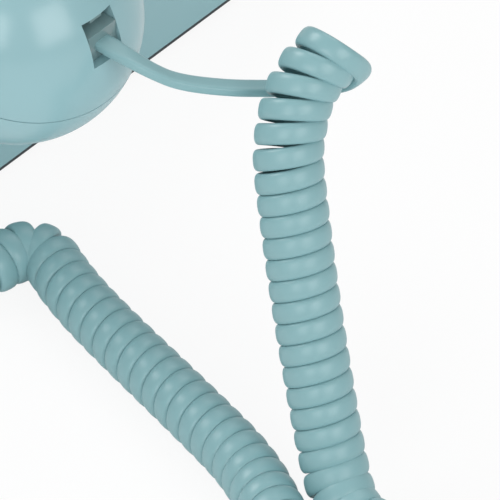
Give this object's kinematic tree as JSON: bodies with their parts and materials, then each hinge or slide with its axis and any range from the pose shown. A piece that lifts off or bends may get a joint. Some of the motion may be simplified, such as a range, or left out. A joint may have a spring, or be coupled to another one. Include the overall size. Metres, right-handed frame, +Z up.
{
  "type": "telephone",
  "caption": "Compact bedroom desk telephone with a ball-ended handset resting on a cradle, a ring of push keys on the sloping face and a curly handset cord.",
  "frame": {"origin": "on the table under the middle of the base", "axes": "+X to the user's right along the handset, +Y to the back, +Z up"},
  "size_m": [0.3114, 0.142, 0.0946],
  "materials": {
    "shell": "moulded gloss",
    "cord": "soft satin PVC",
    "clear_plug": "clear moulded",
    "gold_contacts": "gold plated",
    "dark_plastic": "fine texture",
    "dial_metal": "spun satin",
    "bright_trim": "polished",
    "key_plastic": "moulded gloss",
    "black_rubber": "matte",
    "plated_steel": "zinc plated",
    "bell_metal": "turned",
    "board": "varnished board",
    "winding": "taped winding"
  },
  "bodies": {
    "base": {"base_feet": "black_rubber", "base_plate": "dark_plastic", "base_screws": "plated_steel", "base_housing": "shell", "dial_plate": "dial_metal", "dial_bezel": "bright_trim", "dial_centre": "shell", "keypad_mat": "black_rubber", "keypad_board": "board", "hook_switch": "dark_plastic", "hook_spring": "plated_steel", "network_board": "board", "gong_post": "plated_steel", "ringer_gong": "bell_metal", "ringer_frame": "plated_steel", "ringer_coil": "winding", "line_jack": "dark_plastic", "base_jack": "dark_plastic", "base_plug": "clear_plug", "base_plug_contacts": "gold_contacts", "cord_coil": "cord", "cord_lead_base": "cord"},
    "handset": {"handset_body": "shell", "mouthpiece_cap": "shell", "earpiece_cap": "shell", "mouthpiece_capsule": "dark_plastic", "earpiece_capsule": "dark_plastic", "handset_jack": "dark_plastic", "handset_plug": "clear_plug", "handset_plug_contacts": "gold_contacts", "cord_lead_handset": "cord"},
    "hook": {"hook_bail": "dark_plastic"},
    "clapper": {"ringer_clapper": "bell_metal"},
    "ringer_switch": {"ringer_slider": "dark_plastic"},
    "button_1": {"key_1": "key_plastic"},
    "button_2": {"key_2": "key_plastic"},
    "button_3": {"key_3": "key_plastic"},
    "button_4": {"key_4": "key_plastic"},
    "button_5": {"key_5": "key_plastic"},
    "button_6": {"key_6": "key_plastic"},
    "button_7": {"key_7": "key_plastic"},
    "button_8": {"key_8": "key_plastic"},
    "button_9": {"key_9": "key_plastic"},
    "button_star": {"key_star": "key_plastic"},
    "button_0": {"key_0": "key_plastic"},
    "button_hash": {"key_hash": "key_plastic"}
  },
  "joints": [
    {"name": "handset_lift", "type": "slide", "parent": "base", "child": "handset", "axis": [0, 0, 1], "range_m": [0, 0.12]},
    {"name": "hook_rise", "type": "slide", "parent": "base", "child": "hook", "axis": [0, 0, 1], "range_m": [0, 0.005], "deforming": ["hook_spring"]},
    {"name": "clapper_swing", "type": "hinge", "parent": "base", "child": "clapper", "pos_m": [-0.02439, 0.044, 0.0185], "axis": [0, 0, 1], "range_deg": [-4, 3], "stiffness_Nm_per_rad": 0.02},
    {"name": "ringer_slide", "type": "slide", "parent": "base", "child": "ringer_switch", "axis": [0, 1, 0], "range_m": [-0.003, 0.003]},
    {"name": "press_1", "type": "slide", "parent": "base", "child": "button_1", "axis": [0, 0.515, -0.8572], "range_m": [0, 0.0025], "stiffness_N_per_m": 400},
    {"name": "press_2", "type": "slide", "parent": "base", "child": "button_2", "axis": [0, 0.515, -0.8572], "range_m": [0, 0.0025], "stiffness_N_per_m": 400},
    {"name": "press_3", "type": "slide", "parent": "base", "child": "button_3", "axis": [0, 0.515, -0.8572], "range_m": [0, 0.0025], "stiffness_N_per_m": 400},
    {"name": "press_4", "type": "slide", "parent": "base", "child": "button_4", "axis": [0, 0.515, -0.8572], "range_m": [0, 0.0025], "stiffness_N_per_m": 400},
    {"name": "press_5", "type": "slide", "parent": "base", "child": "button_5", "axis": [0, 0.515, -0.8572], "range_m": [0, 0.0025], "stiffness_N_per_m": 400},
    {"name": "press_6", "type": "slide", "parent": "base", "child": "button_6", "axis": [0, 0.515, -0.8572], "range_m": [0, 0.0025], "stiffness_N_per_m": 400},
    {"name": "press_7", "type": "slide", "parent": "base", "child": "button_7", "axis": [0, 0.515, -0.8572], "range_m": [0, 0.0025], "stiffness_N_per_m": 400},
    {"name": "press_8", "type": "slide", "parent": "base", "child": "button_8", "axis": [0, 0.515, -0.8572], "range_m": [0, 0.0025], "stiffness_N_per_m": 400},
    {"name": "press_9", "type": "slide", "parent": "base", "child": "button_9", "axis": [0, 0.515, -0.8572], "range_m": [0, 0.0025], "stiffness_N_per_m": 400},
    {"name": "press_star", "type": "slide", "parent": "base", "child": "button_star", "axis": [0, 0.515, -0.8572], "range_m": [0, 0.0025], "stiffness_N_per_m": 400},
    {"name": "press_0", "type": "slide", "parent": "base", "child": "button_0", "axis": [0, 0.515, -0.8572], "range_m": [0, 0.0025], "stiffness_N_per_m": 400},
    {"name": "press_hash", "type": "slide", "parent": "base", "child": "button_hash", "axis": [0, 0.515, -0.8572], "range_m": [0, 0.0025], "stiffness_N_per_m": 400}
  ],
  "couplings": [
    {"joint": "hook_rise", "follows": "handset_lift", "ratio": 0.041667}
  ]
}
